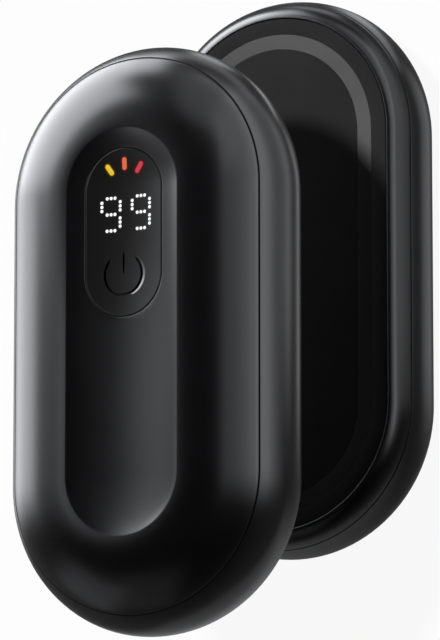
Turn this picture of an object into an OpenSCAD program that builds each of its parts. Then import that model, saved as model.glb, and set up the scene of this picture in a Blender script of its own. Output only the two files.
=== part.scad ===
// Pair of pill-shaped rechargeable hand warmers that dock face to face on magnets.
// X is the width, Y the length with the display end at +Y, and Z the upper unit's display side.
// The lower unit lies on the rim of its thumb channel. The upper unit is lifted off it.

/* [Case] */
// Length of one unit
unit_length = 100; // [94:1:112]
// Width of one unit, which is also twice its end radius
unit_width = 52.2; // [50:0.2:56]
// Height of the widest plane above the docking face
dock_to_waist = 7.9; // [7.4:0.1:8.8]
// Height of the display crest above the widest plane
waist_to_crest = 11.7; // [11.4:0.1:13]
// Wall thickness of the case shells
wall = 1.8; // [1.5:0.1:2]
// Height of the joint between the dock shell and the middle frame
dock_seam_z = 3.05; // [2.9:0.05:3.4]
// Height of the joint between the middle frame and the display cover
crown_seam_z = 14.4; // [14:0.1:14.8]
// Width of the fine groove at each of these joints
seam_gap = 0.24; // [0.16:0.02:0.3]

/* [Pair] */
// Distance between the two docking faces, as photographed
pair_gap = 36.2; // [10:0.2:60]
// Offset of the two units along their length, as photographed
pair_shift = 18.5; // [0:0.5:40]

/* [Thumb channel] */
// Width of the channel between its crisp edges
channel_width = 21; // [20:0.2:22.4]
// Depth of the channel along its middle
channel_depth = 1.2; // [1:0.1:1.6]
// Width of the flat rim round the channel, on which a unit can lie
rim_land = 0.5; // [0.3:0.1:0.8]

/* [Display key] */
// Width of the display key
key_width = 14.4; // [14:0.1:15.4]
// Length of the display key
key_length = 28.4; // [28:0.2:30]
// Distance of the key from the channel's display end
key_inset = 3.5; // [3:0.1:4]
// Running gap round the key
key_gap = 0.15; // [0.1:0.05:0.25]
// Travel of the key when it is pressed
key_travel = 0.4; // [0.3:0.05:0.5]
// Thickness of the flange that holds the key in
key_flange = 0.8; // [0.6:0.05:0.9]

/* [Docking face] */
// Width of the flat docking panel
panel_width = 43.4; // [42.6:0.2:44.2]
// Thickness of the docking panel
panel_thickness = 1.4; // [1.2:0.1:1.5]
// Gap line round the docking panel
panel_gap = 0.2; // [0.15:0.05:0.3]
// Distance of the racetrack ring from the panel's edge
ring_inset = 2.8; // [2.4:0.1:3.4]
// Width of the racetrack ring
ring_width = 2.7; // [2.2:0.1:3.2]
// Thickness of the racetrack ring
ring_thickness = 0.6; // [0.4:0.1:0.8]

/* [Charging port] */
// Width of the socket's shell
socket_width = 8.9; // [8.6:0.1:9.2]
// Height of the socket's shell
socket_height = 3.2; // [3.1:0.1:3.4]
// Length of the socket's shell
socket_length = 7.4; // [7:0.1:8]
// Clearance of the socket in the case
socket_gap = 0.2; // [0.1:0.05:0.3]

/* [Inside] */
// Radius of a screw boss
boss_radius = 2.2; // [2:0.1:2.4]
// Radius of a case screw's thread
screw_radius = 1; // [0.9:0.05:1.1]
// Thickness of the circuit board
board_thickness = 1.2; // [1:0.1:1.4]
// Diameter of a docking magnet
magnet_diameter = 8; // [7:0.5:8.5]
// Thickness of a docking magnet
magnet_thickness = 2.5; // [2:0.1:3]

/* [Quality] */
// Facets of a full circle
facets = 56; // [48:4:96]

/* [Hidden] */
$fn = facets;
small_facets = 16;
UNITS = ["lower", "upper"];
PIECES = [
    "display_cover", "mid_frame", "dock_shell", "dock_panel", "dock_ring",
    "display_key", "level_lights", "display_module", "key_switch", "main_board",
    "board_screws", "usb_socket", "battery", "battery_pad", "protection_board",
    "battery_leads", "thermistor", "palm_heater", "dock_heater", "heat_spreader",
    "dock_magnets", "case_screws"
];
NODES = [for (unit = UNITS) for (piece = PIECES) str(unit, "_", piece)];
node = "all";

// Clearances: seated pieces, pieces that only pass by, and the overrun of cuts
seat_gap = 0.1;
bay_gap = 0.4;
overrun = 0.5;

// Plan and height of one unit: a straight spine with half circle ends
unit_depth = dock_to_waist + waist_to_crest;
unit_half = unit_width / 2;
spine_half = unit_length / 2 - unit_half;
channel_half = channel_width / 2;
crest_half = channel_half + rim_land;
panel_half = panel_width / 2;
dock_half = panel_half + panel_gap;
case_fullness = 1.9;
crown_steps = 12;
cavity_steps = 6;

// Shells
trough_floor_z = unit_depth - channel_depth;
trough_roof_z = trough_floor_z - wall;
trough_half = channel_half + wall;
deck_z = dock_seam_z - seam_gap / 2;
cover_z = crown_seam_z + seam_gap / 2;
lip_height = 1.1;
lip_thickness = 0.9;
dock_lip_w = cavity_w(dock_seam_z) - seat_gap;
crown_lip_w = cavity_w(crown_seam_z) - seat_gap;
lip_z = cover_z - lip_height;

// Case screws: one at the middle of each side and one at each shoulder of both ends
screw_reach = crown_lip_w - boss_radius - seat_gap;
shoulder_angle = 50;
shoulder_x = screw_reach * sin(shoulder_angle);
shoulder_y = spine_half + screw_reach * cos(shoulder_angle);
screw_places = concat(
    [for (side = [-1, 1]) [side * screw_reach, 0]],
    [for (side = [-1, 1]) for (end = [-1, 1]) [side * shoulder_x, end * shoulder_y]]);
screw_length = 7.5;
screw_head_radius = 1.9;
screw_head_height = 1.1;
screw_hole_gap = 0.12;

// Stack in the battery bay, from the deck up to the board
heater_film = 0.2;
spreader_thickness = 0.8;
pad_thickness = 0.4;
spreader_z = deck_z + heater_film;
pad_z = spreader_z + spreader_thickness;
battery_z = pad_z + pad_thickness;
board_top = lip_z - seat_gap;
board_z = board_top - board_thickness;
battery_top = board_z - seat_gap;
bay_half = screw_reach - boss_radius - bay_gap;
bay_end = shoulder_y - boss_radius - bay_gap;
bay_corner = 2;
protection_thickness = 1;
protection_y = bay_end - protection_thickness;
battery_end = protection_y - seat_gap;
rib_thickness = 1.2;
rib_y = 16;

// Circuit board, screwed to posts of the cover
board_half = shoulder_x - boss_radius - bay_gap;
board_edge_w = cavity_w(board_top) - bay_gap;
post_radius = 1.3;
post_x = board_half - post_radius;
post_low_y = post_radius;
post_high_y = shoulder_y;
board_start_y = -post_radius;
board_screw_radius = 0.6;
board_screw_head_radius = 1.1;
board_screw_head = 0.6;
board_screw_length = 3.2;
protection_half = 9;
protection_height = 4.6;
lead_radius = 0.6;
lead_x = 3.2;
lead_drop = 1.6;
lead_run = 2.2;
lead_z = battery_top - lead_drop;

// Key and what it presses
key_half = key_width / 2;
key_spine_half = (key_length - key_width) / 2;
key_y = spine_half + channel_half - key_inset - key_length / 2;
key_lip = 1.1;
flange_z = trough_roof_z - seat_gap - key_flange;
plunger_drop = 7.1;
plunger_y = key_y - plunger_drop;
plunger_radius = 1.5;
plunger_length = 0.3;
plunger_z = flange_z - plunger_length;
switch_size = 4.2;
switch_button = 0.3;
switch_button_radius = 1.2;
switch_top = plunger_z - key_travel - seat_gap;

// Heat level lights: short light pipes in a fan near the key's display end
light_straight = 1.3;
light_width = 0.86;
light_reach = 5;
light_angle = 34;
light_inset = 7.6;
light_centre_y = key_y + key_length / 2 - light_inset;

// Display module under the key
module_half = 5.6;
module_drop = 2;
module_start_y = key_y - module_drop;
module_end_y = light_centre_y + light_reach + light_straight;
module_top = flange_z - key_travel - 2 * seat_gap;

// Charging socket, hung from the board on a stand so that its mouth is near the widest plane
socket_stand = 3.5;
stand_width = 5;
stand_length = 3.2;
mouth_recess = 0.2;
socket_z = board_z - socket_stand - socket_height / 2;
mouth_w = case_w(socket_z - socket_height / 2);
mouth_y = spine_half + sqrt(pow(mouth_w, 2) - pow(socket_width / 2, 2)) - mouth_recess;
socket_wall = 0.3;
socket_back = 1.2;
tongue_height = 0.7;
tongue_width = 6.7;
tongue_setback = 0.8;

// Magnets in shallow pockets of the deck, and the temperature sensor on the battery
magnet_radius = magnet_diameter / 2;
magnet_spread = 2.4;
magnet_margin = 1.2;
magnet_seat = 0.6;
magnet_x = magnet_radius + magnet_spread;
magnet_y = bay_end + magnet_radius + magnet_margin;
sensor_radius = 0.8;
sensor_length = 3;
sensor_y = -8;

// The palm heater ends short of both the board and the key's flange
heater_end_y = min(board_start_y, key_y - key_length / 2 - key_lip) - bay_gap;

// Points of a quarter superellipse, from its side to its top
function quarter(side, rise, steps) = [
    for (i = [0 : steps]) let (a = 90 * i / steps)
        [side * pow(cos(a), 2 / case_fullness), rise * pow(sin(a), 2 / case_fullness)]
];

function bulge(share) = pow(1 - pow(share, case_fullness), 1 / case_fullness);

// Half width of the case at a height, and of the same surface drawn in by an inset
function case_w(z, inset = 0) = z < dock_to_waist
    ? dock_half + (unit_half - dock_half - inset) * bulge((dock_to_waist - z) / (dock_to_waist - inset))
    : crest_half + (unit_half - crest_half - inset) * bulge((z - dock_to_waist) / (waist_to_crest - inset));
function cavity_w(z) = case_w(z, wall);

// Half section of the case from its axis: docking face, waist and crest
function case_section(inset, steps) =
    let (foot = quarter(unit_half - dock_half - inset, dock_to_waist - inset, steps / 2),
         crown = quarter(unit_half - crest_half - inset, waist_to_crest - inset, steps))
    concat(
        [[0, inset]],
        [for (i = [len(foot) - 1 : -1 : 0]) [dock_half + foot[i].x, dock_to_waist - foot[i].y]],
        [for (i = [1 : len(crown) - 1]) [crest_half + crown[i].x, dock_to_waist + crown[i].y]],
        [[0, unit_depth - inset]]);

function band_section(inner, outer, z0, z1) = [[inner, z0], [outer, z0], [outer, z1], [inner, z1]];

// Section of the thumb channel: a circular arc between the crisp edges
channel_radius = (pow(channel_half, 2) + pow(channel_depth, 2)) / (2 * channel_depth);
channel_sweep = asin(channel_half / channel_radius);
channel_steps = 6;
channel_section = concat(
    [for (i = [0 : channel_steps]) let (a = channel_sweep * i / channel_steps)
        [channel_radius * sin(a), trough_floor_z + channel_radius * (1 - cos(a))]],
    [[channel_half, unit_depth + overrun], [0, unit_depth + overrun]]);

// A half section carried round a straight spine with half circle ends
module pill(section, straight = spine_half) {
    for (end = [0, 1]) mirror([0, end, 0]) translate([0, straight, 0])
        rotate_extrude(angle = 180) polygon(section);
    for (side = [0, 1]) mirror([side, 0, 0]) rotate([90, 0, 0])
        linear_extrude(2 * straight, center = true) polygon(section);
}

module pill_plate(half, z0, z1, straight = spine_half) {
    pill(band_section(0, half, z0, z1), straight);
}

module case_body() pill(case_section(0, crown_steps));
module case_cavity() pill(case_section(wall, cavity_steps));

// Everything between two heights and, if wanted, between two places along the length
module layer(z0, z1, y0 = -unit_length, y1 = unit_length) {
    translate([-unit_width, y0, z0]) cube([2 * unit_width, y1 - y0, z1 - z0]);
}

// A plate over the battery bay with round corners
module bay_plate(z0, z1, end = bay_end) {
    translate([0, 0, z0]) linear_extrude(z1 - z0) {
        translate([-bay_half, bay_corner - bay_end]) square([2 * bay_half, bay_end + end - 2 * bay_corner]);
        translate([bay_corner - bay_half, -bay_end]) square([2 * (bay_half - bay_corner), bay_end + end]);
        for (side = [-1, 1]) for (y = [bay_corner - bay_end, end - bay_corner])
            translate([side * (bay_half - bay_corner), y]) circle(bay_corner);
    }
}

// A bar with half round sides that runs back from its mouth along -Y
module slot_bar(width, height, length) {
    rotate([90, 0, 0]) linear_extrude(length) {
        square([width - height, height], center = true);
        for (side = [-1, 1]) translate([side * (width - height) / 2, 0]) circle(height / 2);
    }
}

module at_screws() for (place = screw_places) translate(place) children();
module at_posts(rows) for (side = [-1, 1]) for (y = rows) translate([side * post_x, y, 0]) children();
module at_magnets() for (side = [-1, 1]) for (end = [-1, 1])
    translate([side * magnet_x, end * magnet_y, deck_z - magnet_seat]) children();
module at_key() translate([0, key_y, 0]) children();
module at_lights() for (step = [-1 : 1]) translate([0, light_centre_y, 0])
    rotate(-step * light_angle) translate([0, light_reach, 0]) children();

module light_pipe(z0, z1) translate([0, 0, z0]) linear_extrude(z1 - z0) {
    square([light_width, light_straight], center = true);
    for (end = [-1, 1]) translate([0, end * light_straight / 2]) circle(light_width / 2, $fn = small_facets);
}

// A countersunk screw, or the hole for it, from the panel's back upwards
module case_screw(grow = 0) translate([0, 0, panel_thickness]) {
    cylinder(r1 = screw_head_radius + grow, r2 = screw_radius + grow, h = screw_head_height, $fn = small_facets);
    cylinder(r = screw_radius + grow, h = screw_length, $fn = small_facets);
}

// Display side of the case, with the thumb channel, the screw bosses and the board posts
module display_cover() color("#1a1b1e") {
    difference() {
        union() {
            intersection() {
                case_body();
                layer(cover_z, unit_depth + overrun);
                union() {
                    difference() {
                        layer(cover_z - overrun, unit_depth + overrun);
                        case_cavity();
                    }
                    pill_plate(trough_half, trough_roof_z, unit_depth + overrun);
                    cover_columns(unit_depth);
                }
            }
            pill(band_section(crown_lip_w - lip_thickness, crown_lip_w, lip_z, cover_z + lip_height));
            cover_columns(cover_z + seat_gap);
        }
        pill(channel_section);
        at_key() pill_plate(key_half + key_gap, trough_roof_z - overrun, unit_depth + overrun, key_spine_half);
        at_screws() case_screw();
        at_posts([post_high_y]) translate([0, 0, board_z])
            cylinder(r = board_screw_radius, h = board_screw_length, $fn = small_facets);
    }
}

// Screw bosses that reach down to the deck, and posts that reach down to the board
module cover_columns(top) {
    at_screws() translate([0, 0, deck_z]) cylinder(r = boss_radius, h = top - deck_z, $fn = facets / 2);
    at_posts([post_low_y, post_high_y]) translate([0, 0, board_top])
        cylinder(r = post_radius, h = top - board_top, $fn = small_facets);
}

// Band between the two joints, with ribs beside the battery and the charging port's opening
module mid_frame() color("#1d1e21") {
    difference() {
        intersection() {
            case_body();
            layer(dock_seam_z + seam_gap / 2, crown_seam_z - seam_gap / 2);
            union() {
                difference() {
                    layer(0, unit_depth);
                    case_cavity();
                }
                bay_ribs();
            }
        }
        translate([0, unit_length / 2 + overrun, socket_z])
            slot_bar(socket_width + 2 * socket_gap, socket_height + 2 * socket_gap, 3 * wall);
    }
}

module bay_ribs() {
    rib_z = deck_z + lip_height + seat_gap;
    for (side = [0, 1]) mirror([side, 0, 0]) for (end = [-1, 1])
        translate([bay_half + seat_gap, end * rib_y - rib_thickness / 2, rib_z])
            cube([unit_half - bay_half, rib_thickness, battery_top - rib_z]);
}

// Docking side of the case: a rim, a deck behind the panel and a lip into the middle frame
module dock_shell() color("#1d1e21") {
    difference() {
        union() {
            intersection() {
                case_body();
                layer(-overrun, deck_z);
            }
            pill(band_section(dock_lip_w - lip_thickness, dock_lip_w, panel_thickness, deck_z + lip_height));
        }
        pill_plate(dock_half, -overrun, panel_thickness);
        at_screws() case_screw(screw_hole_gap);
        at_magnets() cylinder(r = magnet_radius + seat_gap, h = magnet_thickness, $fn = facets / 2);
    }
}

// Flat matte panel that meets the other unit, with a groove for the ring
module dock_panel() color("#26272a") {
    difference() {
        pill_plate(panel_half, 0, panel_thickness);
        racetrack(-overrun);
    }
}

module racetrack(z0) pill(band_section(panel_half - ring_inset - ring_width, panel_half - ring_inset,
    z0, ring_thickness));

module dock_ring() color("#6d6f73") racetrack(0);

// Glossy key that follows the channel's floor, with a flange and a plunger below it
module display_key() color("#101114") {
    difference() {
        union() {
            at_key() pill_plate(key_half, flange_z, unit_depth, key_spine_half);
            at_key() pill_plate(key_half + key_lip, flange_z, flange_z + key_flange, key_spine_half);
            translate([0, plunger_y, plunger_z]) cylinder(r = plunger_radius, h = plunger_length + seat_gap);
        }
        pill(channel_section);
        at_lights() light_pipe(flange_z - overrun, unit_depth);
    }
}

module level_lights() color("#f28c28") {
    difference() {
        at_lights() light_pipe(flange_z, unit_depth);
        pill(channel_section);
    }
}

module display_module() color("#e9e9e4") {
    translate([-module_half, module_start_y, board_top])
        cube([2 * module_half, module_end_y - module_start_y, module_top - board_top]);
}

module key_switch() color("#8f9296") {
    translate([-switch_size / 2, plunger_y - switch_size / 2, board_top])
        cube([switch_size, switch_size, switch_top - switch_button - board_top]);
    translate([0, plunger_y, switch_top - switch_button])
        cylinder(r = switch_button_radius, h = switch_button, $fn = small_facets);
}

module main_board() color("#1f5a3a") {
    difference() {
        intersection() {
            pill_plate(board_edge_w, board_z, board_top);
            translate([-board_half, board_start_y, board_z]) cube([2 * board_half, unit_length, board_thickness]);
        }
        at_posts([post_high_y]) translate([0, 0, board_z - overrun])
            cylinder(r = board_screw_radius, h = board_screw_length, $fn = small_facets);
    }
}

module board_screws() color("#b9bbbe") {
    at_posts([post_high_y]) translate([0, 0, board_z]) {
        cylinder(r = board_screw_radius, h = board_screw_length, $fn = small_facets);
        translate([0, 0, -board_screw_head])
            cylinder(r = board_screw_head_radius, h = board_screw_head, $fn = small_facets);
    }
}

// Charging socket: a rounded metal shell round a flat tongue, with a stand up to the board
module usb_socket() color("#a9abae") {
    stand_z = socket_z + socket_height / 2 - socket_wall;
    translate([-stand_width / 2, mouth_y - socket_length, stand_z])
        cube([stand_width, stand_length, board_z - stand_z]);
    translate([0, mouth_y, socket_z]) {
        difference() {
            slot_bar(socket_width, socket_height, socket_length);
            translate([0, overrun, 0]) slot_bar(socket_width - 2 * socket_wall,
                socket_height - 2 * socket_wall, socket_length - socket_back + overrun);
        }
        translate([-tongue_width / 2, -socket_length + overrun, -tongue_height / 2])
            cube([tongue_width, socket_length - overrun - tongue_setback, tongue_height]);
    }
}

module battery() color("#8c9aa8") bay_plate(battery_z, battery_top, battery_end);

module battery_pad() color("#3a3a3c") bay_plate(pad_z, battery_z, battery_end);

module protection_board() color("#22603f") {
    translate([-protection_half, protection_y, battery_top - protection_height])
        cube([2 * protection_half, protection_thickness, protection_height - seat_gap]);
}

// Two leads from the battery's board up to the main board
module battery_leads() color("#b3261e") {
    for (side = [-1, 1]) translate([side * lead_x, bay_end, lead_z]) {
        rotate([-90, 0, 0]) cylinder(r = lead_radius, h = lead_run, $fn = small_facets);
        translate([0, lead_run, 0]) {
            sphere(lead_radius, $fn = small_facets);
            cylinder(r = lead_radius, h = board_z - lead_z, $fn = small_facets);
        }
    }
}

module thermistor() color("#c9b458") {
    translate([-sensor_length / 2, sensor_y, battery_top + sensor_radius + seat_gap / 2])
        rotate([0, 90, 0]) cylinder(r = sensor_radius, h = sensor_length, $fn = small_facets);
}

// Heating film under the thumb channel, beyond the key
module palm_heater() color("#b87333") {
    intersection() {
        pill_plate(trough_half - bay_gap, trough_roof_z - heater_film, trough_roof_z);
        layer(board_top, unit_depth, -unit_length, heater_end_y);
    }
}

module dock_heater() color("#b87333") bay_plate(deck_z, spreader_z);

module heat_spreader() color("#c4c7ca") bay_plate(spreader_z, pad_z);

module dock_magnets() color("#9a9da1") {
    at_magnets() cylinder(r = magnet_radius, h = magnet_thickness, $fn = facets / 2);
}

module case_screws() color("#b9bbbe") at_screws() case_screw();

// Places one unit: the lower lies display side down, the upper is lifted and drawn back
module place(unit) {
    if (unit == "lower") translate([0, pair_shift / 2, unit_depth]) rotate([0, 180, 0]) children();
    else translate([0, -pair_shift / 2, unit_depth + pair_gap]) children();
}

function drawn(unit, piece) = node == "all" || node == str(unit, "_", piece);

for (unit = UNITS) place(unit) {
    if (drawn(unit, "display_cover")) display_cover();
    if (drawn(unit, "mid_frame")) mid_frame();
    if (drawn(unit, "dock_shell")) dock_shell();
    if (drawn(unit, "dock_panel")) dock_panel();
    if (drawn(unit, "dock_ring")) dock_ring();
    if (drawn(unit, "display_key")) display_key();
    if (drawn(unit, "level_lights")) level_lights();
    if (drawn(unit, "display_module")) display_module();
    if (drawn(unit, "key_switch")) key_switch();
    if (drawn(unit, "main_board")) main_board();
    if (drawn(unit, "board_screws")) board_screws();
    if (drawn(unit, "usb_socket")) usb_socket();
    if (drawn(unit, "battery")) battery();
    if (drawn(unit, "battery_pad")) battery_pad();
    if (drawn(unit, "protection_board")) protection_board();
    if (drawn(unit, "battery_leads")) battery_leads();
    if (drawn(unit, "thermistor")) thermistor();
    if (drawn(unit, "palm_heater")) palm_heater();
    if (drawn(unit, "dock_heater")) dock_heater();
    if (drawn(unit, "heat_spreader")) heat_spreader();
    if (drawn(unit, "dock_magnets")) dock_magnets();
    if (drawn(unit, "case_screws")) case_screws();
}
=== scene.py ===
"""Looks of the hand warmer pair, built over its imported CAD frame.

Lengths are in millimetres, in each unit's own directions, unless a comment says otherwise: x across
the unit, y along it, and z up from its docking face to its display.
"""
import math

import bmesh
import bpy
from mathutils import Matrix, Vector


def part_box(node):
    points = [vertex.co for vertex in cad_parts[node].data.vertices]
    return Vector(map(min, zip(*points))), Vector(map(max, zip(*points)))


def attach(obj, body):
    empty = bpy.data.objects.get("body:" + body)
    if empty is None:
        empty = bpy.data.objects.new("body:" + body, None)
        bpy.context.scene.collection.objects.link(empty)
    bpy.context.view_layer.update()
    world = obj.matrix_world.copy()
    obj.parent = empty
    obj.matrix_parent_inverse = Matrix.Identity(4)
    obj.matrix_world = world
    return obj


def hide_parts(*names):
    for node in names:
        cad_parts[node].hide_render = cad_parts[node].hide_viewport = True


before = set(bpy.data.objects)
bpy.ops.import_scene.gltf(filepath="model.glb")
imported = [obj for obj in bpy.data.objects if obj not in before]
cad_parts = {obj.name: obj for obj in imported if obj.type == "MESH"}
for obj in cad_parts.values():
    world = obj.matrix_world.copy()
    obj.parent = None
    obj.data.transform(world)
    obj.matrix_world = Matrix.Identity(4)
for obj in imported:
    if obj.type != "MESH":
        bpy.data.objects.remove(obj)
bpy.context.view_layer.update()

MM = 0.001
UNITS = ("lower", "upper")

# Case, as in the part's source
UNIT_LENGTH = 100.0
UNIT_HALF = 26.1
SPINE = UNIT_LENGTH / 2 - UNIT_HALF
WAIST = 7.9
CROWN_RISE = 11.7
DEPTH = WAIST + CROWN_RISE
FULLNESS = 1.9
WALL = 1.8
CREST_HALF = 11.0
CREST_TRIM = 0.1
DOCK_HALF = 21.9
DOCK_EDGE = 0.06
PAIR_GAP = 36.2
PAIR_SHIFT = 18.5

# Case joints. A curved section starts a little way from its rounded edge.
DOCK_SEAM = 3.05
CROWN_SEAM = 14.4
SEAM_GAP = 0.24
SEAM_TRIM = 0.05
SEAM_EDGE = 0.04
COVER_START = 0.3
BAND_START = 0.2
DECK_Z = DOCK_SEAM - SEAM_GAP / 2
BAND_Z = DOCK_SEAM + SEAM_GAP / 2
BAND_TOP = CROWN_SEAM - SEAM_GAP / 2
COVER_Z = CROWN_SEAM + SEAM_GAP / 2
DECK_TRIM = 0.1
SEAT_GAP = 0.1
LIP_HEIGHT = 1.1
LIP_ROOT = 0.8
LIP_THICKNESS = 0.9
LIP_EDGE = 0.12

# Dock panel and its ring
PANEL_HALF = 21.7
PANEL_THICKNESS = 1.4
PANEL_EDGE = 0.05
RING_MARGIN = 2.8
RING_WIDTH = 2.7
RING_OUTER = PANEL_HALF - RING_MARGIN
RING_INNER = RING_OUTER - RING_WIDTH
RING_THICKNESS = 0.6
RING_GAP = 0.04
RING_EDGE = 0.06
RING_BACK_EDGE = 0.03

# Thumb channel. The last share of its depth comes close to the rim, by a high power.
CHANNEL_HALF = 10.5
CHANNEL_DEPTH = 1.2
CHANNEL_ROLL = 0.15
ROLL_POWER = 9
RIM_RADIUS = 0.8
RIM_FOOT = CHANNEL_HALF - 0.5
TROUGH_FLOOR = DEPTH - CHANNEL_DEPTH
TROUGH_ROOF = TROUGH_FLOOR - WALL
TROUGH_HALF = CHANNEL_HALF + WALL
ROOF_MARGIN = 0.1
ROOF_SHARES = (0.33, 0.66, 1)

# Display key
KEY_HALF = 7.2
KEY_LENGTH = 28.4
KEY_MARGIN = 3.5
KEY_SPINE = KEY_LENGTH / 2 - KEY_HALF
KEY_Y = SPINE + CHANNEL_HALF - KEY_MARGIN - KEY_LENGTH / 2
KEY_GAP = 0.15
KEY_EDGE = 0.1
KEY_LIP = 1.1
FLANGE_THICKNESS = 0.8
FLANGE_EDGE = 0.1
FLANGE_Z = TROUGH_ROOF - SEAT_GAP - FLANGE_THICKNESS
PLUNGER_RADIUS = 1.5
PLUNGER_TIP = 1.38
PLUNGER_DROP = 0.3
PLUNGER_LAP = 0.2

# Power mark: a ring open at its top and a bar, both cut as a trench, and a slope at the ring's
# right. Sections are (offset to the left of the path, height over the channel's floor). Faces that
# lie between MARK_FLOOR over the flange's foot and MARK_DIP under the channel's floor are painted
# near black. This is painted shade that darkens the trench and the slope.
POWER_X = -0.2
POWER_Y = KEY_Y - 7.1
POWER_REACH = 4.6
MARK_RADIUS = 3.5
MARK_SPAN = (math.radians(128), math.radians(412))
TRENCH = ((-0.23, 0.0), (-0.12, -0.36), (0.12, -0.36), (0.23, 0.0), (0.23, 0.4), (-0.23, 0.4))
BAR_LENGTH = 3.8
BAR_SHARE = 0.8
SLOPE_SPAN = (math.radians(-74), math.radians(52))
SLOPE = ((-0.66, 0.0), (0.05, -0.23), (0.05, 0.4), (-0.66, 0.4))
SLOPE_ENDS = 3
TAPER_START = 0.35
TAPER_STEPS = 3
MARK_FLOOR = 0.1
MARK_DIP = 0.004

# Heat level lights, in a fan
LIGHT_Y = KEY_Y + KEY_LENGTH / 2 - 7.6
LIGHT_REACH = 5.0
LIGHT_ANGLE = math.radians(34)
LIGHT_HALF = 0.43
LIGHT_STRAIGHT = 0.65
LIGHT_INSETS = (0.0, 0.1, 0.25, LIGHT_HALF)
LIGHT_FOOT = 0.3
HALO_WIDTH = 0.27
WELL_GAP = 0.005
WELL_OVERRUN = 0.5

# Dotted digits. The outline of a dot is its radius and its depth under the key's top.
DIGIT_X = (-2.6, 3.1)
DIGIT_MID_Y = KEY_Y + 3.15
DIGIT_RISE = 2.76
DIGIT_SIDE = 1.7
DOT_STEP = 0.72
DOT_SQUEEZE = 0.97
DOT_RADIUS = 0.29
DOT_GAP = 0.015
DOT_WELL = 0.14
DOT_OUTLINE = ((DOT_RADIUS - 0.02, 0.13), (DOT_RADIUS, 0.1), (DOT_RADIUS, 0.03),
               (DOT_RADIUS - 0.03, 0.005), (DOT_RADIUS / 2, 0.0))

# Mesh density, small edges, and the limits for welding points and dropping empty faces
END_STEPS = 56
SIDE_STEPS = 20
CROWN_STEPS = 44
HALF_STEPS = CROWN_STEPS // 2
INNER_STEPS = 8
FLOOR_STEPS = 36
FILLET_STEPS = 4
ROUND_STEPS = 24
MAGNET_STEPS = 48
KEY_STEPS = 46
KEY_SIDES = 40
PORT_SIDES, PORT_ENDS = 4, 16
LIGHT_SIDES, LIGHT_ENDS = 4, 14
DOT_STEPS = 20
PLUNGER_STEPS = 32
MARK_STEPS = 72
SLOPE_STEPS = 36
BAR_STEPS = 14
PAD_STEPS = 8
SMOOTH_ANGLE = math.radians(34)
PIPE_EDGE = 0.15
BLOCK_EDGE = 0.12
BEVEL_SEGMENTS = 2
WELD = 1e-4
NO_AREA = 1e-9


# ---------------------------------------------------------------- surfaces
def bulge(share):
    """The rest of a superellipse's width at a share of its height, from 1 to 0."""
    return max(0.0, 1 - max(0.0, share) ** FULLNESS) ** (1 / FULLNESS)


def case_w(z, inset=0.0):
    """Half width of the case at a height, or of the same surface drawn in by an inset."""
    if z < WAIST:
        return DOCK_HALF + (UNIT_HALF - DOCK_HALF - inset) * bulge((WAIST - z) / (WAIST - inset))
    return CREST_HALF + (UNIT_HALF - CREST_HALF - inset) * bulge((z - WAIST) / (CROWN_RISE - inset))


def cavity_w(z):
    return case_w(z, WALL)


def crown_z(w, inset=0.0):
    """Height of the crown at a distance from the spine, or of its surface drawn in by an inset."""
    return WAIST + (CROWN_RISE - inset) * bulge((w - CREST_HALF) / (UNIT_HALF - CREST_HALF - inset))


def spine_distance(x, y):
    return math.hypot(x, max(abs(y) - SPINE, 0.0))


def channel_z(x, y):
    """Height of the thumb channel's floor over a place in the plan. It steepens towards the rim."""
    share = min(spine_distance(x, y) / CHANNEL_HALF, 1.0)
    rise = (1 - CHANNEL_ROLL) * share ** 2 + CHANNEL_ROLL * share ** ROLL_POWER
    return TROUGH_FLOOR + CHANNEL_DEPTH * rise


def under_channel(depth):
    """The channel's floor, lowered by a depth, as a height over a place in the plan."""
    return lambda x, y: channel_z(x, y) - depth


# ---------------------------------------------------------------- sections, as points (w, z)
def section_points(side, rise, start_w, up, low, high, steps):
    """Points of a superellipse above the waist (up is 1) or under it (up is -1).

    Low and high are its first and last distance from the waist.
    """
    first, last = (math.asin(min(1.0, (v / rise) ** (FULLNESS / 2))) for v in (low, high))
    power = 2 / FULLNESS
    points = []
    for i in range(steps + 1):
        a = first + (last - first) * i / steps
        points.append((start_w + side * math.cos(a) ** power,
                       WAIST + up * rise * math.sin(a) ** power))
    return points


def crown(low, high, inset, steps):
    """The section above the waist, from its lower to its upper height."""
    return section_points(UNIT_HALF - CREST_HALF - inset, CROWN_RISE - inset, CREST_HALF, 1,
                          low - WAIST, high - WAIST, steps)


def foot(low, high, inset, steps):
    """The section under the waist, from its lower to its upper height."""
    return section_points(UNIT_HALF - DOCK_HALF - inset, WAIST - inset, DOCK_HALF, -1,
                          WAIST - high, WAIST - low, steps)[::-1]


def fillet(before, corner, after, radius):
    """Points of the arc that rounds a corner between its two neighbours."""
    p, c, n = (Vector(v) for v in (before, corner, after))
    a, b = (p - c).normalized(), (n - c).normalized()
    half = a.angle(b) / 2
    centre = c + (a + b).normalized() * radius / math.sin(half)
    start = c + a * radius / math.tan(half) - centre
    end = c + b * radius / math.tan(half) - centre
    sweep = start.angle(end)
    points = []
    for k in range(FILLET_STEPS + 1):
        t = k / FILLET_STEPS
        arm = start * math.sin((1 - t) * sweep) + end * math.sin(t * sweep)
        points.append(tuple(centre + arm / math.sin(sweep)))
    return points


def profile(*parts):
    """Joins points and corners. A corner is (w, z, radius), rounded between its neighbours."""
    flat = [p for part in parts for p in (part if isinstance(part, list) else [part])]
    out = []
    for i, p in enumerate(flat):
        if len(p) == 3:
            out += fillet(flat[i - 1][:2], p[:2], flat[(i + 1) % len(flat)][:2], p[2])
        else:
            out.append(p)
    return out


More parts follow.
